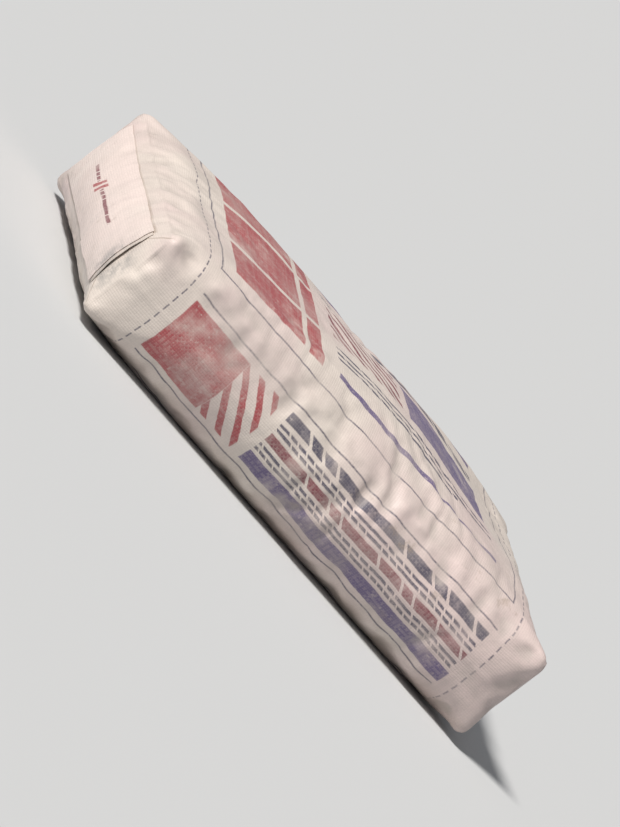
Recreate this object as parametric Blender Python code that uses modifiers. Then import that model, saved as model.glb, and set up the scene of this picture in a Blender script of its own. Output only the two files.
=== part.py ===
"""A filled 50 kg block-bottom valve sack of cement, lying flat on its broad face.

Metres, +Z up. X runs along the sack, Y across it. The origin is on the floor, under the middle of the sack.
The sack is a woven tube whose two ends are folded into block ends. A cover patch is welded over each
block end, and a valve patch lies under one of them, at the corner where the sack is filled.
"""

import bmesh
import bpy

# The filled tube
LENGTH = 0.630  # over the crowned block ends
WIDTH = 0.410  # over the bulging long sides
THICKNESS = 0.160  # lying flat, at the middle
SIDE_BULGE = 0.010  # how far each long side bulges out past the block ends
BLOCK_HEIGHT = 0.115  # a block end, up
BLOCK_LIFT = 0.010  # lower edge of a block end above the floor
BLOCK_CROWN = 0.013  # how far powder bulges a block end out at its centre
BLOCK_CROWN_SIDE = 0.009  # the same beside its short edges
FOLD_ROUND = 0.042  # roundness of the folds round a block end
FALL = 0.229  # length of the stretch in which the top falls to a block end
RISE = 0.078  # length of the stretch in which the base rises to a block end
SQUARING = 0.160  # length of the stretch in which the section turns square
CAGE_LEVELS = 2  # subdivision of the coarse cage

# Loops of the coarse cage
NEAR_END = 0.073  # from a block end to the cross loop between it and the stretch of full thickness
FLAT_HALF_LENGTH = 0.051  # middle of the sack to the first cross loop
FLAT_HALF_WIDTH = 0.056  # middle of the sack to the first lengthwise loop
SHOULDER_IN = 0.108  # widest point to the loop between the long side and the flat of a broad face

# The round of a long side in the middle of the sack, as the place of the cage's loops
SIDE_LOW = 0.028  # height of the loop over the bottom edge
SIDE_HIGH = 0.104  # height of the loop under the top edge
SIDE_BASE_IN = 0.036  # how far the bottom edge is drawn in from the widest point
SIDE_LOW_IN = 0.004  # the same for the loop over the bottom edge
SIDE_HIGH_IN = 0.010  # the same for the loop under the top edge
SIDE_TOP_IN = 0.058  # the same for the top edge
SIDE_TOP_DROP = 0.016  # how far the top edge lies under the flat of the top

# Patches of the same coated fabric, welded to the block ends
FABRIC = 0.0005  # a coated patch with its weld
SEAT_GAP = 0.00035  # clearance under each patch
COVER_LENGTH = 0.322  # cover patch, across the sack
COVER_WIDTH = 0.082  # cover patch, up
VALVE_LENGTH = 0.118  # valve patch, across the sack
VALVE_WIDTH = 0.078  # valve patch, up
VALVE_INSET = 0.028  # outer edge of the valve patch from the corner of the block end
VALVE_RAMP = 0.006  # length over which the cover patch steps down off the valve patch

VALVE_END = -1  # side along X of the filling valve
CLOSED_END = 1


def clear_scene():
    for obj in list(bpy.data.objects):
        bpy.data.objects.remove(obj, do_unlink=True)


def new_collection(name):
    collection = bpy.data.collections.new(name)
    bpy.context.scene.collection.children.link(collection)
    return collection


def new_material(name, colour, roughness):
    material = bpy.data.materials.new(name)
    material.use_nodes = True
    shader = material.node_tree.nodes["Principled BSDF"]
    shader.inputs["Base Color"].default_value = (*colour, 1.0)
    shader.inputs["Roughness"].default_value = roughness
    shader.inputs["Metallic"].default_value = 0.0
    return material


def object_from_bmesh(name, bm, collection, material):
    mesh = bpy.data.meshes.new(name)
    bm.to_mesh(mesh)
    bm.free()
    mesh.shade_smooth()
    mesh.materials.append(material)
    obj = bpy.data.objects.new(name, mesh)
    collection.objects.link(obj)
    return obj


def cut(bm, axis, station, keep=0):
    """Cuts the mesh by a plane across the axis, and keeps both sides, or only the one that keep names by sign."""
    point, normal = [0.0, 0.0, 0.0], [0.0, 0.0, 0.0]
    point[axis], normal[axis] = station, 1.0
    everything = bm.verts[:] + bm.edges[:] + bm.faces[:]
    bmesh.ops.bisect_plane(
        bm, geom=everything, plane_co=point, plane_no=normal, clear_inner=keep > 0, clear_outer=keep < 0
    )


def box_stations():
    """Where the loops of the plain box lie before it is shaped, along X, Y and Z."""
    half_length = LENGTH / 2 - BLOCK_CROWN
    lengthwise = (half_length - FOLD_ROUND, half_length - NEAR_END, half_length - FALL, FLAT_HALF_LENGTH)
    across = (WIDTH / 2 - FOLD_ROUND, FLAT_HALF_WIDTH)
    up = (FOLD_ROUND, THICKNESS / 2, THICKNESS - FOLD_ROUND)
    return lengthwise, across, up


def nearest(value, stations):
    """The index of the station that the value lies at."""
    return min(range(len(stations)), key=lambda index: abs(stations[index] - value))


def share_beyond(value, start, stop):
    """How far the value has gone from start to stop, from 0 to 1."""
    return min(1.0, max(0.0, (value - start) / (stop - start)))


def shaped(point):
    """A vertex of the plain box, moved to its place on the cage of the filled sack."""
    x, y, z = point
    half_length = LENGTH / 2 - BLOCK_CROWN
    _, across, up = box_stations()
    level = nearest(z, (0.0, *up, THICKNESS))
    column = nearest(abs(y), (WIDTH / 2, *across))
    is_edge, is_shoulder = column == 0, column == 1
    is_base, is_top = level == 0, level == 4

    # In the middle the long sides are round, and the flat of the top ends at their top edges.
    height_middle = (0.0, SIDE_LOW, THICKNESS / 2, SIDE_HIGH, THICKNESS)[level]
    width_middle = abs(y)
    if is_edge:
        width_middle -= (SIDE_BASE_IN, SIDE_LOW_IN, 0.0, SIDE_HIGH_IN, SIDE_TOP_IN)[level]
    if is_shoulder:
        width_middle = WIDTH / 2 - SHOULDER_IN
    if is_edge and is_top:
        height_middle -= SIDE_TOP_DROP

    # At a block end the section is lower and square, and it is off the floor.
    above_lift = (0.0, FOLD_ROUND, BLOCK_HEIGHT / 2, BLOCK_HEIGHT - FOLD_ROUND, BLOCK_HEIGHT)[level]
    height_end = BLOCK_LIFT + above_lift
    width_end = abs(y)
    if is_edge or is_shoulder:
        width_end -= SIDE_BULGE

    # The top falls and the base rises along arcs, ever more steeply towards the block end.
    stretch = RISE if is_base else FALL
    lowered = share_beyond(abs(x), half_length - stretch, half_length) ** 2
    height = height_middle + (height_end - height_middle) * lowered
    squared = share_beyond(abs(x), half_length - SQUARING, half_length)
    squared = squared * squared * (3.0 - 2.0 * squared)
    width = width_middle + (width_end - width_middle) * squared

    # Powder pushes the middle of a block end out.
    on_end = abs(x) > half_length - FOLD_ROUND / 2
    if on_end and not (is_base or is_top or is_edge):
        crown = BLOCK_CROWN_SIDE if is_shoulder else BLOCK_CROWN
        x += crown * (1 if x > 0 else -1)
    return x, width * (1 if y > 0 else -1), height


def build_sack(collection, material):
    bm = bmesh.new()
    bmesh.ops.create_cube(bm, size=1.0)
    size = (LENGTH - 2 * BLOCK_CROWN, WIDTH, THICKNESS)
    bmesh.ops.scale(bm, vec=size, verts=bm.verts)
    bmesh.ops.translate(bm, vec=(0, 0, THICKNESS / 2), verts=bm.verts)
    lengthwise, across, up = box_stations()
    for axis, stations in enumerate((lengthwise, across)):
        for station in stations:
            cut(bm, axis, station)
            cut(bm, axis, -station)
    for station in up:
        cut(bm, 2, station)
    for vert in bm.verts:
        vert.co = shaped(vert.co)
    sack = object_from_bmesh("sack_body", bm, collection, material)
    subdivision = sack.modifiers.new("Subdivision", "SUBSURF")
    subdivision.levels = CAGE_LEVELS
    subdivision.render_levels = CAGE_LEVELS
    # Triangles here, so that the patches, which are cut from this surface, have the same ones.
    sack.modifiers.new("Triangles", "TRIANGULATE")
    return sack


def build_patch(name, end, across, size, sack, collection, material, over_valve=None):
    """A patch that lies on a block end: its stretch of the sack's surface, lifted off it and made thick.

    across is (centre, length) along Y, and size is its width up. over_valve is (edge, lift) where the patch
    passes over the valve patch: up to edge along Y it stands higher by lift.
    """
    centre, length = across
    middle = BLOCK_LIFT + BLOCK_HEIGHT / 2
    bm = bmesh.new()
    bm.from_object(sack, bpy.context.evaluated_depsgraph_get())
    cut(bm, 0, 0.0, keep=end)
    cut(bm, 1, centre - length / 2, keep=1)
    cut(bm, 1, centre + length / 2, keep=-1)
    cut(bm, 2, middle - size / 2, keep=1)
    cut(bm, 2, middle + size / 2, keep=-1)
    bmesh.ops.translate(bm, vec=(end * SEAT_GAP, 0, 0), verts=bm.verts)
    if over_valve:
        edge, lift = over_valve
        cut(bm, 1, edge)
        cut(bm, 1, edge + VALVE_RAMP)
        raised = [vert for vert in bm.verts if vert.co.y < edge + VALVE_RAMP / 2]
        bmesh.ops.translate(bm, vec=(end * lift, 0, 0), verts=raised)
    patch = object_from_bmesh(name, bm, collection, material)
    thicken = patch.modifiers.new("Fabric", "SOLIDIFY")
    thicken.thickness = FABRIC
    thicken.offset = 1.0


def main():
    clear_scene()
    collection = new_collection("cement_bag")
    sack_fabric = new_material("coated_woven_sack", (0.72, 0.66, 0.62), 0.55)
    patch_fabric = new_material("coated_patch", (0.76, 0.70, 0.65), 0.5)
    valve_fabric = new_material("valve_fabric", (0.70, 0.66, 0.62), 0.6)

    sack = build_sack(collection, sack_fabric)

    valve_outer = -(WIDTH / 2 - SIDE_BULGE - VALVE_INSET)
    valve_inner = valve_outer + VALVE_LENGTH
    valve_across = ((valve_outer + valve_inner) / 2, VALVE_LENGTH)
    build_patch("valve_patch", VALVE_END, valve_across, VALVE_WIDTH, sack, collection, valve_fabric)

    cover_across = (0.0, COVER_LENGTH)
    over_valve = (valve_inner + SEAT_GAP, FABRIC + SEAT_GAP)
    build_patch(
        "valve_end_cover_patch", VALVE_END, cover_across, COVER_WIDTH, sack, collection, patch_fabric,
        over_valve=over_valve,
    )
    build_patch("closed_end_cover_patch", CLOSED_END, cover_across, COVER_WIDTH, sack, collection, patch_fabric)


main()
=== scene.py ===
"""The looks of a filled block-bottom valve sack of cement, lying flat on its broad face.

Metres, +Z up. X runs along the sack, Y across it, and the filling valve is at the -X end on the -Y side.
The sack starts as the empty folded cloth, a box of even cells. A cloth simulation blows it up under an uneven
lid, as powder fills a sack and its neighbours press on it. What is printed, woven or welded on the cloth
keeps its place on it through the UV map "cloth", which is in metres.
"""

import math

import bmesh
import bpy
import numpy as np
from mathutils import Matrix, Vector, noise
from mathutils.bvhtree import BVHTree
from mathutils.interpolate import poly_3d_calc


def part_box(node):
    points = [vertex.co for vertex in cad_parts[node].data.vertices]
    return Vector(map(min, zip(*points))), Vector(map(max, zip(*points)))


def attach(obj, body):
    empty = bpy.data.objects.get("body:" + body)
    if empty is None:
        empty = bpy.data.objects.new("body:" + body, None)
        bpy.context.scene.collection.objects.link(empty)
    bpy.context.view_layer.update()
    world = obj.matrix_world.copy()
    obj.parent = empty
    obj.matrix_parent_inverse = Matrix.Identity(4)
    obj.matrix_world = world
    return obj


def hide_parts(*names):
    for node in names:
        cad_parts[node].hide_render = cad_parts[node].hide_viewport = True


# The cloth before the sack is filled
TUBE_LENGTH = 0.607
BLOCK_WIDTH = 0.388  # a block end, across
BLOCK_HEIGHT = 0.120  # a block end, up
CELL = 0.0058  # size of a cell of the cloth
FOLD_ROUND = 0.012  # radius of the folds
START_LIFT = 0.004  # height of the empty sack above the floor
UNEVEN = ((18.0, 0.0016), (60.0, 0.0008))  # (waves a metre, height) of what breaks the sack's symmetry
SEED = 4  # of that unevenness

# Filling it
FILL_FRAMES = 30
FILL_STEPS = 8  # of the simulation in each frame
FILL_PRESSURE = 4.0
CLOTH_MASS = 0.3
CLOTH_STRETCH = 100.0
CLOTH_SHEAR = 10.0
CLOTH_BEND = 0.05
END_BEND = 5.0  # the block ends are several layers thick
CLOTH_DAMPING = 25.0
BEND_DAMPING = 0.5
AIR_DAMPING = 5.0
FRICTION = 5.0
CONTACT = 0.002  # distance that the simulation keeps to the floor and the lid
PRESS_FLOOR_HALF = 1.5
LID_HALF = 0.5
LID_CELLS = (48, 36)
LID_HEIGHT = 0.165
LID_FALL_LENGTHWISE = 0.22
LID_FALL_ACROSS = 0.10
LID_BUMP = 0.004
LID_WAVES = ((13, 5, 1.0), (-4, 17, 0.5), (27, -11, 0.0))  # radians a metre along X and Y, and at the middle
LID_SHORT_WAVES = 0.6  # height of the shortest of them, as a share

# How the filled cloth is fitted to the solid sack
CAP = 0.005  # how far it may stand off the solid
BROAD_ROUNDS = 60  # rounds of smoothing that leave only the broad form
REST_BAND = 0.0015  # what is lower than this lies on the floor

# Its wrinkles. Rounds are rounds of smoothing.
SMOOTHING = (0.3, 0.7)  # shares of a vertex and of its neighbours in each round
BROADER = 4  # how many times more rounds find the broad form
WRINKLE_ROUNDS = 12  # rounds that leave out the wrinkles, on the cells of the simulation
FINEST_ROUNDS = 2  # the same for the finest of them
WRINKLE_GAIN = 2.4  # how much deeper the wrinkles get
END_WRINKLE_GAIN = -0.8  # the same on the block ends, where they get shallower
GAIN_ROUNDS = 4  # rounds between the two
HOLLOW_ROUNDS = 40  # rounds that leave out the wrinkles, on the finer cells that are shown
HOLLOW_BLUR = 8  # rounds on the depth of the hollows

# Small sharp creases of a handled sack
CREASE_DEPTH = 0.0021
CREASE_WIDTH = 0.13  # in the noise's own measure
CREASE_WAVES_SIDE = (30.0, 9.0, 9.0)  # waves a metre along X, Y and Z beside the long sides
CREASE_WAVES_END = (9.0, 28.0, 14.0)  # the same beside the block ends
CREASE_SHIFT_SIDE = 3.0  # how far the noise is shifted, so that the two kinds differ
CREASE_SHIFT_END = 8.0
CREASE_GROUPS = 11.0  # waves a metre of where there are creases
CREASE_GROUP_RAMP = (2.5, 0.2)  # slope and start of their depth there
CREASE_TURN = (0.19, 0.26)  # between these distances from the middle the creases turn
CREASE_REACH = (0.35, 0.90)  # shares of the way to the rim between which the creases get deeper
CREASE_REACH_ENDS = 0.9  # where a block end counts on that way
CREASE_MIDDLE = 0.45  # depth of the creases in the middle, as a share
CREASE_ON_ENDS = 0.25  # the same on the block ends
CREASE_FROM_FLOOR = 0.010  # height at which the creases have their full depth

# The folds
FLAP_STEP = 0.0007  # height of the folded flaps over the tucked corner beside them
FLAP_SOFT = 0.003  # width of the step
FLAP_FADE_UP = 0.012  # width of the strip in which the flaps run out at the top and bottom of a block end
FLAP_FADE_ACROSS = 0.006  # the same at its sides
FOLD_RIDGE = 0.0011  # height of the ridge along the folds round a block end
TUBE_RIDGE = 0.0005  # the same along the edges that the tube had while it was flat
RIDGE_WIDTH = 0.0022

# The patches, in the cloth's own measures
FABRIC = 0.0005
PATCH_CELL = 0.0035
SHARP = math.radians(40)  # edges of the patches that are sharper than this look it
COVER_SIZE = (0.322, 0.082)
COVER_LIFT = 0.0006
VALVE_COVER_PLACE = (0.0, 0.001)  # centre, across and up
VALVE_COVER_SKEW = math.radians(0.4)
CLOSED_COVER_PLACE = (0.002, -0.001)
CLOSED_COVER_SKEW = math.radians(-0.5)
VALVE_SIZE = (0.118, 0.078)
VALVE_OUTER = 0.028  # outer edge of the valve patch from the corner of the block end
VALVE_RAMP = 0.006  # width of the strip in which the cover steps down off the valve patch
MOUTH_GAPE = 0.0026  # how far the mouth of the valve stands open at its outer edge
MOUTH_DEPTH = 0.045  # how far in it stands off the block end
MOUTH_HALF = 0.036  # half of its width
MOUTH_NARROWING = 1.5  # power by which the gape closes towards both sides of the mouth

# The weave. A ramp is (low, high) of what it follows, with its value at each where that isn't 0 and 1.
TAPE = 0.0027  # pitch of the woven tapes
TAPE_FLATNESS = 0.22  # power that makes the arch across a tape flat
TAPE_ARCH = (0.6, 0.4)  # how much of a tape's height the arch along it makes, and the rest
TAPE_CROSSING = (-0.08, 0.08)
TONE_SHADE = (0.0, 1.0, 0.16, 0.0)
GAP_SHADE = (0.0, 0.75, 0.40, 0.0)

# Where the generic print is. Along is from the middle of the sack, and a place on a long side or a broad
# face is across it, from its middle. A row of bars is low and high across, pitch, number, and the share of
# cells that end in a gap.
EDGE = 0.0008  # softness of a printed edge
EVERYWHERE = -1.0  # the low end of a span that has none
BAR_FILL = 0.80  # share of a printed bar's last cell that has ink
SLANT = 0.8  # how far slanted prints lean
STRIPES = 0.022  # pitch of the slanted stripes
STRIPE_INK = (0.18, 0.60, 0.03)  # (low, high, softness) of the ink in each pitch
ROWS_ALONG = (-0.082, 0.232)
FRAME_ALONG = (EVERYWHERE, 0.236)
PANEL_ALONG = (-0.060, 0.200)
SHORT_ROW_ALONG = (-0.060, 0.140)
SIDE_ROWS = (
    (0.0240, 0.0355, 0.022, 1, 0.45),
    (0.0155, 0.0187, 0.013, 3, 0.80),
    (0.0092, 0.0124, 0.012, 4, 0.80),
    (-0.0122, -0.0090, 0.014, 5, 0.80),
    (-0.0185, -0.0153, 0.011, 6, 0.80),
)
SIDE_MAROON_ROW = (-0.0050, 0.0050, 0.019, 2, 0.60)
SIDE_LINES = ((0.0440, 0.0458), (-0.0480, -0.0462))
FACE_ROWS = (
    (0.086, 0.104, 0.034, 7, 0.50),
    (-0.062, -0.056, 0.017, 8, 0.80),
    (-0.076, -0.070, 0.015, 9, 0.80),
)
FACE_SHORT_ROW = (-0.090, -0.084, 0.016, 10, 0.80)
FRAME_SIDES = (0.1630, 0.1650)
FRAME_ENDS = (0.2340, 0.2360)
DASHED_LINE = (0.2510, 0.2526)
DASH = 0.012
DASH_INK = (0.15, 0.80, 0.05)
SIDE_BAND = (-0.0390, -0.0225)
SIDE_BAND_ALONG = (-0.082, 0.236)
FACE_BLOCK = (-0.030, 0.066)
FACE_BLOCK_ALONG = (0.060, 0.200)
FACE_BAND = (0.1270, 0.1350)
SIDE_SQUARE = (-0.039, 0.0355)
SIDE_SQUARE_ALONG = (-0.236, -0.148)
SIDE_STRIPES_ALONG = (-0.148, -0.096)
FACE_SQUARES = (EVERYWHERE, 0.1450)
FACE_SQUARES_ALONG = (-0.216, -0.084)
GAP_BETWEEN = (0.048, 0.058)  # between the squares
GAP_ALONG = (-0.112, -0.104)
FACE_STRIPES_ALONG = (-0.060, 0.048)
PATCH_ROW = (-0.0022, 0.0022, 0.0120, 11, 0.60)
PATCH_ROW_ALONG = (-0.086, 0.092)
MARK_ALONG = 0.030  # middle of the leaning double mark on a cover patch
MARK_BARS = (0.003, 0.011)  # from that middle
MARK_UP = (-0.0085, 0.0080)
MARK_GAP = (0.016, 0.044)  # where the row of bars makes room for it

# Colours, as linear red, green and blue
CREAM = (0.70, 0.625, 0.565)
PINKISH = (0.69, 0.56, 0.535)
PALE_COLOURS = ((0.77, 0.69, 0.63), (0.76, 0.64, 0.60))  # of the cover patches
VALVE_COLOURS = ((0.66, 0.58, 0.52), (0.62, 0.54, 0.50))
# Painted shade in the gaps between the tapes; it also darkens some whole tapes at random
SHADED = (0.50, 0.44, 0.41)  # what is seen between the tapes
# Cement dust, which also paints the shade in the hollows
DUST_AND_SHADE = (0.47, 0.415, 0.38)
# Smudges and grime, the darkening near the floor, and the painted contact shadow round the cover patches
SMUDGE_AND_SHADOW = (0.33, 0.26, 0.20)
CEMENT = (0.27, 0.265, 0.26)
SLATE = (0.075, 0.07, 0.11)
VIOLET = (0.115, 0.085, 0.205)
RED = (0.36, 0.045, 0.055)
MAROON = (0.20, 0.045, 0.06)
FLOOR_COLOUR = (0.61, 0.62, 0.63)

# Wear, dust and painted shade. A noise is (scale, detail, roughness), and depth is the hollow's, in
# millimetres.
BROAD_NOISE = (5.0, 3.0, 0.55)
MIDDLING_NOISE = (22.0, 4.0, 0.6)
FINE_NOISE = (160.0, 3.0, 0.6)
PINK_PATCHES = (0.38, 0.62)
INK = 0.95  # strength of the ink
INK_BY_DEPTH = -0.09  # how much more it is worn for each millimetre that the cloth stands out
INK_WORN = (0.50, 0.80, 1.0, 0.38)
INK_BY_TONE = (0.0, 0.6, 0.80, 1.0)
INK_BY_CROWN = (0.1, 0.55, 0.60, 1.0)
INK_SPECKS = (0.28, 0.40, 0.60, 1.0)
INK_WAVER = 0.0014  # how far a printed edge wavers
CLOUD_NOISE = (9.0, 5.0, 0.65)
CLOUDS = (0.42, 0.72)
CLOUD_DUST = 0.55
# Dust and painted shade in the hollows, by their depth
HOLLOW_DUST_AND_SHADE = (0.15, 1.10)
HOLLOW_DUST_AND_SHADE_BY_NOISE = (0.34, 0.62, 0.35, 1.0)
HOLLOW_DUST_AND_SHADE_STRENGTH = 0.50
MOST_DUST_AND_SHADE = 0.85
SCUFF_NOISE = (34.0, 5.0, 0.7)
SCUFFS = (0.60, 0.73)
SCUFFED_PARTS = (0.40, 0.60)
SCUFF_STRENGTH = 0.50
# Darker low on the sides, near the floor
DARKER_NEAR_FLOOR = (0.004, 0.030, 0.45, 0.0)
DARKER_NEAR_FLOOR_BY_NOISE = (0.35, 0.6)
SEAM_DIRT_AND_SHADOW = (0.3, 0.6, 0.35, 0.8)
FLAP_LINE = (0.0002, 0.0016, 1.0, 0.0)
# Painted contact shadow, with dirt, just beyond the cover patch's edge
RIM_DIRT_AND_SHADOW = (0.0004, 0.0040, 0.8, 0.0)
POWDER_NOISE = (45.0, 6.0, 0.7)
POWDER_BY_NOISE = (0.36, 0.62)
POWDER = 0.75  # strength of the leaked cement
POWDER_DOWN = 0.014  # how far below the middle of the mouth most of it lies
POWDER_REACH = (0.040, 0.052)  # across and up
POWDER_FADE = (0.15, 1.0, 1.0, 0.0)
SHIFT_WAY = (1.0, 0.7, -1.0)  # the way in which the noises are shifted on other pieces
PATCH_SHIFT = 7.0  # how far they are shifted on the cover patches
PATCH_DIRT = 0.8  # how much dirt they have, as a share
VALVE_SHIFT = 9.0
VALVE_DIRT = 1.3

# Relief too fine for the mesh, and gloss
WEAVE_HEIGHT = 0.00030
GRAIN_HEIGHT = 0.00012
DENT_NOISE = (70.0, 3.0, 0.5)
DENT_HEIGHT = 0.0009
RIDGE_NOISE = (26.0, 3.0, 0.45)
RIDGE_DISTORTION = 0.6
RIDGE_HEIGHT = 0.0007
RIDGES_SHOWN = (0.45, 1.3, 0.25, 1.0)
BUMP_STRENGTH = 0.9
CLOTH_ROUGH = (0.3, 0.7, 0.38, 0.52)
DUST_ROUGH = 0.35
CLOTH_SPECULAR = 0.45
COAT = 0.12
COAT_ROUGH = 0.32
FLOOR_ROUGH = 0.85
FLOOR_SPECULAR = 0.2

# Camera, light and stage. Angles are in degrees.
ROLL = 52  # the photograph is rolled: its rows of sacks run down to the right
AZIMUTH = -20
ELEVATION = 9
DISTANCE = 8.6
FRAME_HEIGHT = 0.83  # what the frame's long side covers at the sack
SENSOR = 36.0  # millimetres
VIEW_END = 200.0
KEY_AZIMUTH = -66
KEY_ELEVATION = 47
KEY_STRENGTH = 3.9
KEY_SPREAD = 12  # makes its shadows soft
KEY_COLOUR = (1.0, 0.965, 0.92)
SKY_COLOUR = (0.93, 0.96, 1.0)
SKY_STRENGTH = 0.25
FLOOR_SIZE = 60.0

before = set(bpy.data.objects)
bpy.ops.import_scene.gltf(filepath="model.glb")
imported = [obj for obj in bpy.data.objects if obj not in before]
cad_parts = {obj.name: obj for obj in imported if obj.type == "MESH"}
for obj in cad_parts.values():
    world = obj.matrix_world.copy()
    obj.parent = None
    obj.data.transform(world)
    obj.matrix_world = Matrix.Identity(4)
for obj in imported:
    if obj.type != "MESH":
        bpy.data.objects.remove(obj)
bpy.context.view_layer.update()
SACK_LOW, SACK_HIGH = (Vector(corner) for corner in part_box("sack_body"))

HALF = Vector((TUBE_LENGTH, BLOCK_WIDTH, BLOCK_HEIGHT)) / 2
GIRTH = 2 * (BLOCK_WIDTH + BLOCK_HEIGHT)
MOUTH_PLACE = -(HALF.y - VALVE_OUTER)  # of the valve, across the block end
VALVE_INNER = MOUTH_PLACE + VALVE_SIZE[0]
TUBE, VALVE_END, CLOSED_END = 0, 1, 2  # slots of the sack's materials


def linked(name, bm):
    """A new object in the scene, made from the bmesh."""
    mesh = bpy.data.meshes.new(name)
    bm.to_mesh(mesh)
    bm.free()
    obj = bpy.data.objects.new(name, mesh)
    bpy.context.scene.collection.objects.link(obj)
    return obj


def clothed(name, bm):
    """The same for a piece of cloth, smooth and with its UV map named."""
    obj = linked(name, bm)
    obj.data.uv_layers[0].name = "cloth"
    obj.data.shade_smooth()
    return obj


def coordinates(mesh):
    flat = np.empty(len(mesh.vertices) * 3)
    mesh.vertices.foreach_get("co", flat)
    return flat.reshape(-1, 3)


def set_coordinates(mesh, points):
    mesh.vertices.foreach_set("co", np.ascontiguousarray(points, dtype=np.float32).ravel())
    mesh.update()


def vertex_normals(mesh):
    flat = np.empty(len(mesh.vertices) * 3)
    mesh.vertices.foreach_get("normal", flat)
    return flat.reshape(-1, 3)


def raise_surface(mesh, heights):
    """Moves each vertex out of the surface by its height."""
    set_coordinates(mesh, coordinates(mesh) + vertex_normals(mesh) * heights[:, None])


def end_vertices(mesh):
    """The vertices of the block ends, their edges included."""
    return sorted({v for p in mesh.polygons if p.material_index != TUBE for v in p.vertices})


def limited(value):
    return min(1.0, max(0.0, value))


# The empty sack

def panel(bm, along, up, centre, place_on_cloth, slot):
    """A rectangle of cells with its normal along x up. place_on_cloth gives a point's UV in metres."""
    normal = along.cross(up).normalized()
    matrix = Matrix((along, up, normal)).transposed().to_4x4()
    matrix.translation = centre
    cells = [max(1, round(side.length / CELL)) for side in (along, up)]
    made = bmesh.ops.create_grid(bm, x_segments=cells[0], y_segments=cells[1], size=0.5, matrix=matrix)
    uv = bm.loops.layers.uv.verify()
    for face in {face for vert in made["verts"] for face in vert.link_faces}:
        face.material_index = slot
        for loop in face.loops:
            loop[uv].uv = place_on_cloth(loop.vert.co)


def rounded(point):
    """A point of the box, moved onto the box with round edges."""
    inner = Vector([max(-(h - FOLD_ROUND), min(h - FOLD_ROUND, p)) for p, h in zip(point, HALF)])
    outward = point - inner
    return inner + outward.normalized() * FOLD_ROUND


def empty_sack():
    """The closed cloth as a box of even cells with round folds."""
    noise.seed_set(SEED)
    x, y, z = (Vector(axis) for axis in ((1, 0, 0), (0, 1, 0), (0, 0, 1)))
    length, width, height = 2 * x * HALF.x, 2 * y * HALF.y, 2 * z * HALF.z
    bm = bmesh.new()
    panel(bm, length, width, z * HALF.z, lambda p: (p.x, p.y), TUBE)
    panel(bm, length, -height, y * HALF.y, lambda p: (p.x, HALF.y + HALF.z - p.z), TUBE)
    panel(bm, length, -width, -z * HALF.z, lambda p: (p.x, GIRTH / 2 - p.y), TUBE)
    panel(bm, length, height, -y * HALF.y, lambda p: (p.x, -HALF.y - HALF.z + p.z), TUBE)
    panel(bm, width, height, x * HALF.x, lambda p: (p.y, p.z), CLOSED_END)
    panel(bm, -width, height, -x * HALF.x, lambda p: (p.y, p.z), VALVE_END)
    bmesh.ops.remove_doubles(bm, verts=bm.verts, dist=CELL / 20)
    for vert in bm.verts:
        vert.co = rounded(vert.co)
        for waves, height_of_waves in UNEVEN:
            vert.co += Vector(noise.noise_vector(vert.co * waves)) * height_of_waves
        vert.co.z += HALF.z + START_LIFT
    return clothed("sack", bm)


# Filling the sack

def collider(name, bm):
    obj = linked(name, bm)
    obj.modifiers.new("Collision", "COLLISION")
    obj.collision.thickness_outer = CONTACT
    obj.collision.cloth_friction = FRICTION
    return obj


def floor_collider():
    bm = bmesh.new()
    bmesh.ops.create_grid(bm, x_segments=1, y_segments=1, size=PRESS_FLOOR_HALF)
    return collider("press_floor", bm)


def lid_collider():
    """The uneven underside of the load that the sack was stacked under."""
    bm = bmesh.new()
    bmesh.ops.create_grid(bm, x_segments=LID_CELLS[0], y_segments=LID_CELLS[1], size=LID_HALF)
    for vert in bm.verts:
        x, y = vert.co.x, vert.co.y
        first, second, third = (by_x * x + by_y * y + start for by_x, by_y, start in LID_WAVES)
        bump = math.sin(first) * math.cos(second) + LID_SHORT_WAVES * math.sin(third)
        vert.co.z = LID_HEIGHT - LID_FALL_LENGTHWISE * x * x - LID_FALL_ACROSS * y * y + LID_BUMP * bump
    bmesh.ops.reverse_faces(bm, faces=bm.faces)
    return collider("press_lid", bm)


def fill(sack):
    """Blows the cloth up between the floor and the lid, and keeps its last shape."""
    helpers = [floor_collider(), lid_collider()]
    group = sack.vertex_groups.new(name="block_ends")
    group.add(end_vertices(sack.data), 1.0, "REPLACE")

    cloth = sack.modifiers.new("Cloth", "CLOTH")
    settings = cloth.settings
    settings.quality = FILL_STEPS
    settings.mass = CLOTH_MASS
    settings.air_damping = AIR_DAMPING
    settings.tension_stiffness = CLOTH_STRETCH
    settings.compression_stiffness = CLOTH_SHEAR
    settings.shear_stiffness = CLOTH_SHEAR
    settings.bending_stiffness = CLOTH_BEND
    settings.vertex_group_bending = group.name
    settings.bending_stiffness_max = END_BEND
    settings.tension_damping = settings.compression_damping = settings.shear_damping = CLOTH_DAMPING
    settings.bending_damping = BEND_DAMPING
    settings.use_pressure = True
    settings.uniform_pressure_force = FILL_PRESSURE
    settings.effector_weights.gravity = 0.0
    cloth.collision_settings.distance_min = CONTACT
    cloth.collision_settings.use_self_collision = False
    cloth.point_cache.frame_start = 1
    cloth.point_cache.frame_end = FILL_FRAMES
    for step in range(1, FILL_FRAMES + 1):
        bpy.context.scene.frame_set(step)
    shown = sack.evaluated_get(bpy.context.evaluated_depsgraph_get())
    points = coordinates(shown.to_mesh())
    shown.to_mesh_clear()
    sack.modifiers.remove(cloth)
    sack.vertex_groups.clear()
    set_coordinates(sack.data, points)
    for helper in helpers:
        bpy.data.objects.remove(helper, do_unlink=True)
    bpy.context.scene.frame_set(1)


# Fitting it to the solid, and its wrinkles and folds

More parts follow.
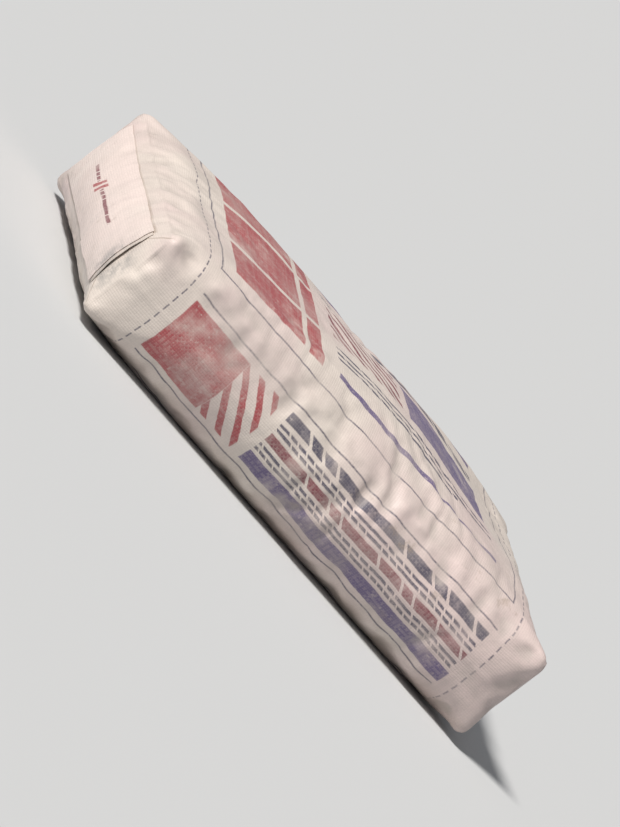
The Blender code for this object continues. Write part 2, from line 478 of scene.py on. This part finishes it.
def smoothed(values, mesh, rounds):
    """Values of the vertices, evened out with their neighbours'."""
    ends = np.empty(len(mesh.edges) * 2, dtype=np.int64)
    mesh.edges.foreach_get("vertices", ends)
    first, second = ends.reshape(-1, 2).T
    count = np.zeros(len(values))
    np.add.at(count, first, 1)
    np.add.at(count, second, 1)
    for _ in range(rounds):
        total = np.zeros_like(values)
        np.add.at(total, first, values[second])
        np.add.at(total, second, values[first])
        values = SMOOTHING[0] * values + SMOOTHING[1] * total / count.reshape(-1, *[1] * (values.ndim - 1))
    return values


def relief(mesh, rounds):
    """How far each vertex stands out of its surroundings, or in them, as a minus, without the broad form."""
    points = coordinates(mesh)
    out = ((points - smoothed(points, mesh, rounds)) * vertex_normals(mesh)).sum(axis=1)
    return out - smoothed(out, mesh, BROADER * rounds)


def deepen_wrinkles(sack):
    """Makes the wrinkles deeper, but not the finest ones, and less on the block ends, which are stiff."""
    mesh = sack.data
    out = relief(mesh, WRINKLE_ROUNDS) - relief(mesh, FINEST_ROUNDS)
    gain = np.full(len(out), WRINKLE_GAIN)
    gain[end_vertices(mesh)] = END_WRINKLE_GAIN
    raise_surface(mesh, out * smoothed(gain, mesh, GAIN_ROUNDS))


def fit_to_solid(sack):
    """Brings the filled cloth to the solid sack's size and broad form. Its wrinkles stay as they are."""
    points = coordinates(sack.data)
    low, high = points.min(axis=0), points.max(axis=0)
    points = (points - (low + high) / 2) / (high - low)
    size, centre = SACK_HIGH - SACK_LOW, (SACK_LOW + SACK_HIGH) / 2
    points = points * np.array(size) + np.array(centre)
    tree = BVHTree.FromObject(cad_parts["sack_body"], bpy.context.evaluated_depsgraph_get())
    offsets = np.array([point - np.array(tree.find_nearest(Vector(point))[0]) for point in points])
    broad = smoothed(offsets, sack.data, BROAD_ROUNDS)
    reach = np.linalg.norm(broad, axis=1)
    allowed = CAP * np.tanh(reach / CAP) / np.maximum(reach, 1e-9)
    points -= broad * (1 - allowed)[:, None]
    # What comes near the floor lies on it.
    z = points[:, 2]
    points[:, 2] = np.maximum(0.0, z - REST_BAND * np.clip(1 - (z - REST_BAND) / (2 * REST_BAND), 0, 1))
    set_coordinates(sack.data, points)


def keep_modified(obj):
    """Puts the result of the object's modifiers into its mesh."""
    shown = obj.evaluated_get(bpy.context.evaluated_depsgraph_get())
    mesh = bpy.data.meshes.new_from_object(shown)
    obj.modifiers.clear()
    old = obj.data
    obj.data = mesh
    bpy.data.meshes.remove(old)
    mesh.name = obj.name


def subdivide(obj):
    modifier = obj.modifiers.new("Subdivision", "SUBSURF")
    modifier.levels = modifier.render_levels = 1
    modifier.boundary_smooth = "PRESERVE_CORNERS"
    keep_modified(obj)


def crease(point, waves, shift):
    """How deep a point lies in a crease, 0 to 1. Creases follow the lines where a stretched noise is zero."""
    spot = Vector([value * wave for value, wave in zip(point, waves)])
    value = noise.noise(spot + Vector((shift, -shift, shift / 2)))
    shown = noise.noise(point * CREASE_GROUPS + Vector((-shift, shift, 0.0)))
    slope, start = CREASE_GROUP_RAMP
    return math.exp(-(value / CREASE_WIDTH) ** 2) * limited(slope * shown + start)


def crumple(sack):
    """Presses small sharp creases into the cloth, across its long sides and away from the block ends."""
    mesh = sack.data
    points = coordinates(mesh)
    depth = np.empty(len(points))
    for index, point in enumerate(points):
        spot = Vector(point)
        near_end = limited((abs(spot.x) - CREASE_TURN[0]) / (CREASE_TURN[1] - CREASE_TURN[0]))
        from_sides = crease(spot, CREASE_WAVES_SIDE, CREASE_SHIFT_SIDE) * (1.0 - near_end)
        from_ends = crease(spot, CREASE_WAVES_END, CREASE_SHIFT_END) * near_end
        depth[index] = from_sides + from_ends
    along, across = np.abs(points[:, 0]) / SACK_HIGH.x, np.abs(points[:, 1]) / SACK_HIGH.y
    depth *= np.interp(np.maximum(across, CREASE_REACH_ENDS * along), CREASE_REACH, (CREASE_MIDDLE, 1.0))
    depth[end_vertices(mesh)] *= CREASE_ON_ENDS
    lifted = np.clip(points[:, 2] / CREASE_FROM_FLOOR, 0, 1)
    raise_surface(mesh, -(smoothed(depth, mesh, 1) * lifted * CREASE_DEPTH))


def fold_block_ends(sack):
    """Raises the two folded flaps of each block end over the tucked corners beside them."""
    mesh = sack.data
    uv = mesh.uv_layers["cloth"].data
    rise = np.zeros(len(mesh.vertices))
    for polygon in mesh.polygons:
        if polygon.material_index == TUBE:
            continue
        for loop, vertex in zip(polygon.loop_indices, polygon.vertices):
            across, up = (abs(value) for value in uv[loop].uv)
            # Distance to the slanted edge of a flap, which starts at the corner. It is minus beyond the flap.
            over = (up - HALF.z) - (across - HALF.y)
            edge = min(1.0, (HALF.z - up) / FLAP_FADE_UP, (HALF.y - across) / FLAP_FADE_ACROSS)
            rise[vertex] = limited(over / FLAP_SOFT + 0.5) * max(0.0, edge)
    raise_surface(mesh, rise * FLAP_STEP)


def press_folds(sack):
    """Leaves a fine ridge where the cloth was folded: round each block end, and at the flat tube's edges."""
    mesh = sack.data
    count = len(mesh.loops)
    places = np.empty(count * 2)
    verts, slots = np.empty(count, dtype=np.int64), np.empty(count, dtype=np.int64)
    mesh.uv_layers["cloth"].data.foreach_get("uv", places)
    mesh.loops.foreach_get("vertex_index", verts)
    for polygon in mesh.polygons:
        slots[polygon.loop_start:polygon.loop_start + polygon.loop_total] = polygon.material_index
    first, second = np.abs(places.reshape(-1, 2).T)
    # On the tube second is 0 at the middle of the top, so its edges were at a quarter of the girth.
    from_end = np.where(slots == TUBE, HALF.x - first, np.minimum(HALF.y - first, HALF.z - second))
    from_edge = np.where(slots == TUBE, np.abs(second - GIRTH / 4), 1.0)
    rise = np.zeros(len(mesh.vertices))
    rise[verts] = FOLD_RIDGE * np.exp(-from_end / RIDGE_WIDTH) + TUBE_RIDGE * np.exp(-from_edge / RIDGE_WIDTH)
    raise_surface(mesh, rise)


def store_hollows(mesh):
    """Stores how deep each vertex lies in a hollow, in millimetres, or how far it stands out, as a minus."""
    depth = smoothed(-1000 * relief(mesh, HOLLOW_ROUNDS), mesh, HOLLOW_BLUR)
    layer = mesh.attributes.new("hollow", "FLOAT", "POINT")
    layer.data.foreach_set("value", depth.astype(np.float32))


# Pieces that lie on the block ends

class EndSurface:
    """Finds the place on the filled cloth of a point that is given by its place on the flat block end."""

    def __init__(self, sack, slot):
        mesh = sack.data
        uv = mesh.uv_layers["cloth"].data
        self.flat, self.faces, self.verts = [], [], []
        for polygon in mesh.polygons:
            if polygon.material_index == slot:
                first = len(self.flat)
                self.flat += [Vector((*uv[loop].uv, 0.0)) for loop in polygon.loop_indices]
                self.verts += list(polygon.vertices)
                self.faces.append(list(range(first, len(self.flat))))
        self.mesh = mesh
        self.tree = BVHTree.FromPolygons(self.flat, self.faces)

    def at(self, across, up, lift):
        spot = Vector((across, up, 0.0))
        nearest, _, face, _ = self.tree.find_nearest(spot)
        corners = self.faces[face]
        weights = poly_3d_calc([self.flat[c] for c in corners], nearest)
        place, normal = Vector(), Vector()
        for weight, corner in zip(weights, corners):
            vert = self.mesh.vertices[self.verts[corner]]
            place += vert.co * weight
            normal += vert.normal * weight
        return place + normal.normalized() * lift


def on_end(across, up):
    """Height over the block end of what lies straight on it."""
    return COVER_LIFT


def at_mouth(across, up):
    """The same for the valve patch, whose mouth stands open."""
    inward = min(1.0, (across - MOUTH_PLACE) / MOUTH_DEPTH)
    narrowed = max(0.0, 1.0 - (up / MOUTH_HALF) ** 2) ** MOUTH_NARROWING
    return COVER_LIFT + MOUTH_GAPE * (1.0 - inward) ** 2 * narrowed


def over_valve(across, up):
    """The same for the cover patch that passes over the valve patch."""
    share = limited(1.0 - (across - VALVE_INNER) / VALVE_RAMP)
    return at_mouth(max(across, MOUTH_PLACE), up) + (FABRIC + COVER_LIFT) * share


def patch(name, surface, end, centre, size, lift, skew=0.0):
    """A sheet of coated fabric, welded to a block end. lift gives its height there from a place on it."""
    cells = [round(side / PATCH_CELL) for side in size]
    bm = bmesh.new()
    bmesh.ops.create_grid(bm, x_segments=cells[0], y_segments=cells[1], size=0.5)
    uv = bm.loops.layers.uv.verify()
    turn = Matrix.Rotation(skew, 2)
    spots = {}
    for vert in bm.verts:
        across, up = turn @ Vector((vert.co.x * size[0], vert.co.y * size[1]))
        spots[vert] = (centre[0] + across, centre[1] + up)
    for face in bm.faces:
        for loop in face.loops:
            loop[uv].uv = spots[loop.vert]
    for vert, (across, up) in spots.items():
        vert.co = surface.at(across, up, lift(across, up))
    if end == VALVE_END:
        bmesh.ops.reverse_faces(bm, faces=bm.faces)
    obj = clothed(name, bm)
    thick = obj.modifiers.new("Fabric", "SOLIDIFY")
    thick.thickness = FABRIC
    thick.offset = 1.0
    keep_modified(obj)
    obj.data.set_sharp_from_angle(angle=SHARP)
    return obj


# Materials

class Nodes:
    """Short ways to add nodes to a material. A value is a number, a tuple or another node's output."""

    def __init__(self, name):
        self.material = bpy.data.materials.new(name)
        self.material.use_nodes = True
        self.tree = self.material.node_tree
        self.shader = self.tree.nodes["Principled BSDF"]

    def put(self, socket, value):
        if isinstance(value, bpy.types.NodeSocket):
            self.tree.links.new(value, socket)
        elif isinstance(value, tuple) and socket.type == "RGBA" and len(value) == 3:
            socket.default_value = (*value, 1.0)
        else:
            socket.default_value = value

    def set_shader(self, **inputs):
        for name, value in inputs.items():
            self.put(self.shader.inputs[name.replace("_", " ")], value)

    def add(self, kind, **inputs):
        node = self.tree.nodes.new(kind)
        for name, value in inputs.items():
            self.put(node.inputs[name.replace("_", " ")], value)
        return node

    def maths(self, operation, *values):
        node = self.tree.nodes.new("ShaderNodeMath")
        node.operation = operation
        for socket, value in zip(node.inputs, values):
            self.put(socket, value)
        return node.outputs[0]

    def gather(self, operation, *values):
        """The same operation on two or more values, one after the other."""
        result = values[0]
        for value in values[1:]:
            result = self.maths(operation, result, value)
        return result

    def plus(self, *values):
        return self.gather("ADD", *values)

    def multiply(self, *values):
        return self.gather("MULTIPLY", *values)

    def most(self, *values):
        return self.gather("MAXIMUM", *values)

    def outside(self, *values):
        """1 where none of the values is 1."""
        return self.maths("SUBTRACT", 1.0, self.most(*values))

    def ramp(self, value, low, high, to_low=0.0, to_high=1.0):
        """Goes smoothly from to_low to to_high while value goes from low to high."""
        node = self.tree.nodes.new("ShaderNodeMapRange")
        node.interpolation_type = "SMOOTHSTEP"
        for socket, entry in zip(node.inputs, (value, low, high, to_low, to_high)):
            self.put(socket, entry)
        return node.outputs[0]

    def inside(self, value, low, high, soft=EDGE):
        """1 where value is between low and high."""
        rise = self.ramp(value, low - soft, low + soft)
        fall = self.ramp(value, high - soft, high + soft, 1.0, 0.0)
        return self.multiply(rise, fall)

    def area(self, first, first_span, second, second_span):
        """1 where both values are in their spans."""
        return self.multiply(self.inside(first, *first_span), self.inside(second, *second_span))

    def mix(self, share, first, second):
        node = self.tree.nodes.new("ShaderNodeMix")
        node.data_type = "RGBA"
        self.put(node.inputs["Factor"], share)
        self.put(node.inputs[6], first)
        self.put(node.inputs[7], second)
        return node.outputs[2]

    def noise(self, place, scale, detail, roughness):
        return self.add("ShaderNodeTexNoise", Vector=place, Scale=scale, Detail=detail, Roughness=roughness)

    def white_noise(self, first, second):
        """An even random number from 0 to 1 for each pair of whole numbers."""
        place = self.add("ShaderNodeCombineXYZ", X=first, Y=second)
        node = self.tree.nodes.new("ShaderNodeTexWhiteNoise")
        node.noise_dimensions = "2D"
        self.put(node.inputs["Vector"], place.outputs[0])
        return node.outputs["Value"]


def cloth_places(n):
    """The place on the cloth as (along, across), in metres."""
    place = n.tree.nodes.new("ShaderNodeUVMap")
    place.uv_map = "cloth"
    parts = n.add("ShaderNodeSeparateXYZ", Vector=place.outputs[0])
    return parts.outputs[0], parts.outputs[1]


def object_places(n, shift):
    """The place in the object, the same shifted for the noises, and the height above the floor."""
    place = n.add("ShaderNodeTexCoord").outputs["Object"]
    shifted = n.tree.nodes.new("ShaderNodeVectorMath")
    n.put(shifted.inputs[0], place)
    shifted.inputs[1].default_value = [shift * part for part in SHIFT_WAY]
    height = n.add("ShaderNodeSeparateXYZ", Vector=place).outputs[2]
    return place, shifted.outputs[0], height


def weave(n, along, across):
    """Plain weave of flat tapes: how high the tape on top stands, and a tone, which it keeps all along."""
    steps = [n.maths("DIVIDE", value, TAPE) for value in (along, across)]
    waves = [n.maths("SINE", n.multiply(step, math.pi)) for step in steps]
    arches = [n.maths("ABSOLUTE", wave) for wave in waves]
    sides = [n.maths("POWER", arch, TAPE_FLATNESS) for arch in arches]
    lengthwise = n.ramp(n.multiply(*waves), *TAPE_CROSSING)
    crosswise = n.outside(lengthwise)
    tapes = [n.maths("FLOOR", step) for step in steps]
    heights = (
        n.multiply(sides[1], n.maths("MULTIPLY_ADD", arches[0], *TAPE_ARCH)),
        n.multiply(sides[0], n.maths("MULTIPLY_ADD", arches[1], *TAPE_ARCH)),
    )
    tones = (n.white_noise(tapes[1], 0.0), n.white_noise(tapes[0], 1.0))
    crown, tone = (
        n.plus(n.multiply(first, lengthwise), n.multiply(second, crosswise))
        for first, second in (heights, tones)
    )
    return crown, tone


def slanted(n, along, value, pitch):
    """How many pitches along a point is, on lines that lean as value grows."""
    return n.maths("DIVIDE", n.plus(along, n.multiply(value, SLANT)), pitch)


def bars(n, along, value, low, high, cell, number, share):
    """A row of plain slanted bars between low and high of value. Each is one or more cells long."""
    step = slanted(n, along, value, cell)
    ends = n.maths("LESS_THAN", n.white_noise(n.maths("FLOOR", step), float(number)), share)
    gap = n.multiply(ends, n.maths("GREATER_THAN", n.maths("FRACT", step), BAR_FILL))
    return n.multiply(n.outside(gap), n.inside(value, low, high))


def print_on_tube(n, along, across):
    """The generic print: for each ink its colour and where it is."""
    face = n.maths("WRAP", across, GIRTH / 4, -GIRTH / 4)
    side = n.maths("WRAP", n.maths("SUBTRACT", across, GIRTH / 4), GIRTH / 4, -GIRTH / 4)
    from_middle = n.maths("ABSOLUTE", face)
    from_centre = n.maths("ABSOLUTE", along)
    side_stripes, face_stripes = (
        n.inside(n.maths("FRACT", slanted(n, along, value, STRIPES)), *STRIPE_INK)
        for value in (side, face)
    )
    dashes = n.inside(n.maths("FRACT", n.maths("DIVIDE", across, DASH)), *DASH_INK)
    rows = n.inside(along, *ROWS_ALONG)
    panel_rows = n.inside(along, *PANEL_ALONG)
    slate = n.most(
        n.multiply(n.most(*(bars(n, along, side, *row) for row in SIDE_ROWS)), rows),
        n.multiply(n.most(*(bars(n, along, face, *row) for row in FACE_ROWS)), panel_rows),
        n.multiply(bars(n, along, face, *FACE_SHORT_ROW), n.inside(along, *SHORT_ROW_ALONG)),
        *(n.area(side, line, from_centre, FRAME_ALONG) for line in SIDE_LINES),
        n.area(from_middle, FRAME_SIDES, from_centre, FRAME_ALONG),
        n.area(from_centre, FRAME_ENDS, from_middle, (EVERYWHERE, FRAME_SIDES[1])),
        n.multiply(n.inside(from_centre, *DASHED_LINE), dashes),
    )
    violet = n.most(
        n.area(side, SIDE_BAND, along, SIDE_BAND_ALONG),
        n.area(face, FACE_BLOCK, along, FACE_BLOCK_ALONG),
        n.multiply(n.inside(from_middle, *FACE_BAND), panel_rows),
    )
    gaps = n.outside(n.inside(from_middle, *GAP_BETWEEN), n.inside(along, *GAP_ALONG))
    red = n.most(
        n.area(side, SIDE_SQUARE, along, SIDE_SQUARE_ALONG),
        n.multiply(n.area(side, SIDE_SQUARE, along, SIDE_STRIPES_ALONG), side_stripes),
        n.multiply(n.area(from_middle, FACE_SQUARES, along, FACE_SQUARES_ALONG), gaps),
    )
    maroon = n.most(
        n.multiply(bars(n, along, side, *SIDE_MAROON_ROW), rows),
        n.multiply(n.area(face, FACE_BLOCK, along, FACE_STRIPES_ALONG), face_stripes),
    )
    return ((SLATE, slate), (VIOLET, violet), (RED, red), (MAROON, maroon))


def print_on_patch(n, along, across):
    row = n.multiply(bars(n, along, across, *PATCH_ROW), n.inside(along, *PATCH_ROW_ALONG))
    leaning = n.plus(n.maths("SUBTRACT", along, MARK_ALONG), n.multiply(across, SLANT))
    mark = n.area(n.maths("ABSOLUTE", leaning), MARK_BARS, across, MARK_UP)
    return ((MAROON, n.multiply(row, n.outside(n.inside(along, *MARK_GAP)))), (RED, mark))


def flap_edges(n, across, up):
    """Lines of dirt along the slanted edges of the folded flaps, and a line of dirt and painted contact
    shadow round the cover patch.
    """
    across, up = n.maths("ABSOLUTE", across), n.maths("ABSOLUTE", up)
    over = n.maths("SUBTRACT", n.maths("SUBTRACT", up, across), HALF.z - HALF.y)
    beyond = n.most(
        n.maths("SUBTRACT", across, COVER_SIZE[0] / 2),
        n.maths("SUBTRACT", up, COVER_SIZE[1] / 2),
    )
    return n.most(n.ramp(n.maths("ABSOLUTE", over), *FLAP_LINE), n.ramp(beyond, *RIM_DIRT_AND_SHADOW))


def leaked_powder(n, across, up):
    """Where cement has leaked from the mouth of the valve, which lets it out sideways and down."""
    out = n.maths("DIVIDE", n.maths("SUBTRACT", across, MOUTH_PLACE), POWDER_REACH[0])
    down = n.maths("DIVIDE", n.plus(up, POWDER_DOWN), POWDER_REACH[1])
    distance = n.maths("SQRT", n.plus(n.multiply(out, out), n.multiply(down, down)))
    return n.ramp(distance, *POWDER_FADE)


def fine_relief(n, spot, crown, fine, middling, depth):
    """The height of the weave, its grain, small dents and sharp small creases."""
    ridges = n.noise(spot, *RIDGE_NOISE)
    ridges.noise_type = "RIDGED_MULTIFRACTAL"
    ridges.normalize = True
    n.put(ridges.inputs["Distortion"], RIDGE_DISTORTION)
    shown = n.ramp(n.plus(n.maths("ABSOLUTE", depth), middling), *RIDGES_SHOWN)
    return n.plus(
        n.multiply(crown, WEAVE_HEIGHT),
        n.multiply(fine, GRAIN_HEIGHT),
        n.multiply(n.noise(spot, *DENT_NOISE).outputs["Fac"], DENT_HEIGHT),
        n.multiply(ridges.outputs["Fac"], shown, RIDGE_HEIGHT),
    )


def coated_cloth(name, inks=None, colours=(CREAM, PINKISH), shift=0.0, dirt=1.0, edges=None, powder=None):
    """Coated woven fabric with its print, its wear and the dust on it.

    inks gives its print, edges where dirt lines its seams and painted contact shadow rings the cover patch,
    and powder where cement has leaked onto it.
    """
    n = Nodes(name)
    along, across = cloth_places(n)
    place, spot, above_floor = object_places(n, shift)
    hollow = n.tree.nodes.new("ShaderNodeAttribute")
    hollow.attribute_name = "hollow"
    depth = hollow.outputs["Fac"]
    crown, tone = weave(n, along, across)
    broad, middling, fine, cloudy, scuffed = (
        n.noise(spot, *measures).outputs["Fac"]
        for measures in (BROAD_NOISE, MIDDLING_NOISE, FINE_NOISE, CLOUD_NOISE, SCUFF_NOISE)
    )

    colour = n.mix(n.ramp(broad, *PINK_PATCHES), colours[0], colours[1])
    colour = n.mix(n.ramp(tone, *TONE_SHADE), colour, SHADED)
    # Painted shade in the gaps between the tapes
    colour = n.mix(n.ramp(crown, *GAP_SHADE), colour, SHADED)

    # The ink is thin and uneven: it misses some tapes, and it is worn where the cloth stands out.
    standing_out = n.multiply(n.maths("MINIMUM", depth, 0.0), INK_BY_DEPTH)
    worn = n.ramp(n.plus(middling, standing_out), *INK_WORN)
    taped = n.multiply(n.ramp(tone, *INK_BY_TONE), n.ramp(crown, *INK_BY_CROWN))
    strength = n.multiply(worn, taped, n.ramp(fine, *INK_SPECKS), INK)
    waver = n.multiply(n.maths("SUBTRACT", fine, 0.5), INK_WAVER)
    for ink, there in inks(n, n.plus(along, waver), n.plus(across, waver)) if inks else ():
        colour = n.mix(n.multiply(there, strength), colour, ink)

    # Cement dust lies in clouds on the cloth. The hollows get dust and painted shade in the dust's colour,
    # and the cloth is darker low on the sides, near the floor.
    clouds = n.multiply(n.ramp(cloudy, *CLOUDS), CLOUD_DUST * dirt)
    dust_and_shade_in_hollows = n.multiply(n.ramp(depth, *HOLLOW_DUST_AND_SHADE), n.ramp(middling, *HOLLOW_DUST_AND_SHADE_BY_NOISE), HOLLOW_DUST_AND_SHADE_STRENGTH)
    dust_and_hollow_shade = n.maths("MINIMUM", n.plus(clouds, dust_and_shade_in_hollows), MOST_DUST_AND_SHADE)
    colour = n.mix(dust_and_hollow_shade, colour, DUST_AND_SHADE)
    scuffs = n.multiply(n.ramp(scuffed, *SCUFFS), n.ramp(broad, *SCUFFED_PARTS), SCUFF_STRENGTH * dirt)
    # Darker low on the sides, near the floor
    near_floor_darkening = n.multiply(n.ramp(above_floor, *DARKER_NEAR_FLOOR), n.ramp(middling, *DARKER_NEAR_FLOOR_BY_NOISE))
    colour = n.mix(n.most(scuffs, near_floor_darkening), colour, SMUDGE_AND_SHADOW)
    if edges:
        # Dirt along the flaps' edges, and dirt with painted contact shadow round the cover patch
        colour = n.mix(n.multiply(edges(n, along, across), n.ramp(middling, *SEAM_DIRT_AND_SHADOW)), colour, SMUDGE_AND_SHADOW)
    if powder:
        patchy = n.ramp(n.noise(place, *POWDER_NOISE).outputs["Fac"], *POWDER_BY_NOISE)
        spilt = n.multiply(powder(n, along, across), patchy, POWDER)
        colour = n.mix(spilt, colour, CEMENT)
        dust_and_hollow_shade = n.most(dust_and_hollow_shade, spilt)

    height = fine_relief(n, spot, crown, fine, middling, depth)
    bump = n.add("ShaderNodeBump", Height=height, Strength=BUMP_STRENGTH, Distance=1.0)
    rough = n.plus(n.ramp(middling, *CLOTH_ROUGH), n.multiply(dust_and_hollow_shade, DUST_ROUGH))
    n.set_shader(Base_Color=colour, Roughness=rough, Normal=bump.outputs[0])
    n.set_shader(Specular_IOR_Level=CLOTH_SPECULAR, Coat_Weight=COAT, Coat_Roughness=COAT_ROUGH)
    return n.material


def floor_material():
    n = Nodes("pale_floor")
    n.set_shader(Base_Color=FLOOR_COLOUR, Roughness=FLOOR_ROUGH, Specular_IOR_Level=FLOOR_SPECULAR)
    return n.material


# Stage, light and camera

def direction(azimuth, elevation):
    """Unit vector towards what stands at azimuth and elevation in degrees, as seen from the sack."""
    a, e = math.radians(azimuth), math.radians(elevation)
    return Vector((math.sin(a) * math.cos(e), -math.cos(a) * math.cos(e), math.sin(e)))


def add_floor():
    bm = bmesh.new()
    bmesh.ops.create_grid(bm, x_segments=1, y_segments=1, size=FLOOR_SIZE / 2)
    floor = linked("floor", bm)
    floor.data.materials.append(floor_material())


def add_key_light():
    data = bpy.data.lights.new("key", "SUN")
    data.energy = KEY_STRENGTH
    data.angle = math.radians(KEY_SPREAD)
    data.color = KEY_COLOUR
    light = bpy.data.objects.new("key", data)
    bpy.context.scene.collection.objects.link(light)
    light.rotation_euler = (-direction(KEY_AZIMUTH, KEY_ELEVATION)).to_track_quat("-Z", "Y").to_euler()


def add_world():
    world = bpy.data.worlds.new("soft_sky")
    bpy.context.scene.world = world
    world.use_nodes = True
    background = world.node_tree.nodes["Background"]
    background.inputs["Color"].default_value = (*SKY_COLOUR, 1.0)
    background.inputs["Strength"].default_value = SKY_STRENGTH


def add_camera():
    """The photograph's camera: far off, a little above, from the left, and rolled."""
    centre = (SACK_LOW + SACK_HIGH) / 2
    back = direction(AZIMUTH, ELEVATION)
    data = bpy.data.cameras.new("camera")
    data.sensor_width = SENSOR
    data.lens = SENSOR * DISTANCE / FRAME_HEIGHT
    data.clip_end = VIEW_END
    camera = bpy.data.objects.new("camera", data)
    bpy.context.scene.collection.objects.link(camera)
    camera.location = centre + back * DISTANCE
    camera.rotation_mode = "QUATERNION"
    upright = (-back).to_track_quat("-Z", "Y")
    camera.rotation_quaternion = upright @ Matrix.Rotation(math.radians(ROLL), 4, "Z").to_quaternion()
    bpy.context.scene.camera = camera


def main():
    add_camera()
    add_world()
    add_floor()
    add_key_light()

    sack = empty_sack()
    fill(sack)
    deepen_wrinkles(sack)
    fit_to_solid(sack)
    subdivide(sack)
    crumple(sack)
    fold_block_ends(sack)
    press_folds(sack)
    store_hollows(sack.data)
    sack.data.materials.append(coated_cloth("printed_sack_cloth", print_on_tube))
    sack.data.materials.append(coated_cloth("valve_end_cloth", edges=flap_edges, powder=leaked_powder))
    sack.data.materials.append(coated_cloth("closed_end_cloth", edges=flap_edges))
    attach(sack, "root")
    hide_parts("sack_body")

    valve_surface, closed_surface = EndSurface(sack, VALVE_END), EndSurface(sack, CLOSED_END)
    valve_centre = ((MOUTH_PLACE + VALVE_INNER) / 2, 0.0)
    valve = patch("valve", valve_surface, VALVE_END, valve_centre, VALVE_SIZE, at_mouth)
    valve_cover = patch(
        "valve_end_cover", valve_surface, VALVE_END, VALVE_COVER_PLACE, COVER_SIZE, over_valve,
        skew=VALVE_COVER_SKEW,
    )
    closed_cover = patch(
        "closed_end_cover", closed_surface, CLOSED_END, CLOSED_COVER_PLACE, COVER_SIZE, on_end,
        skew=CLOSED_COVER_SKEW,
    )
    valve_looks = (None, VALVE_COLOURS, VALVE_SHIFT, VALVE_DIRT)
    valve_cloth = coated_cloth("valve_cloth", *valve_looks, powder=leaked_powder)
    patch_looks = (print_on_patch, PALE_COLOURS, PATCH_SHIFT, PATCH_DIRT)
    cover_cloth = coated_cloth("valve_end_patch_cloth", *patch_looks, powder=leaked_powder)
    closed_cloth = coated_cloth("closed_end_patch_cloth", *patch_looks)
    for piece, material, node, slot in (
        (valve, valve_cloth, "valve_patch", "valve_patch"),
        (valve_cover, cover_cloth, "valve_end_cover_patch", "cover_patch"),
        (closed_cover, closed_cloth, "closed_end_cover_patch", "cover_patch"),
    ):
        piece.data.materials.append(material)
        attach(piece, "root")
        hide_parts(node)

    bpy.context.scene.view_settings.view_transform = "Standard"


main()
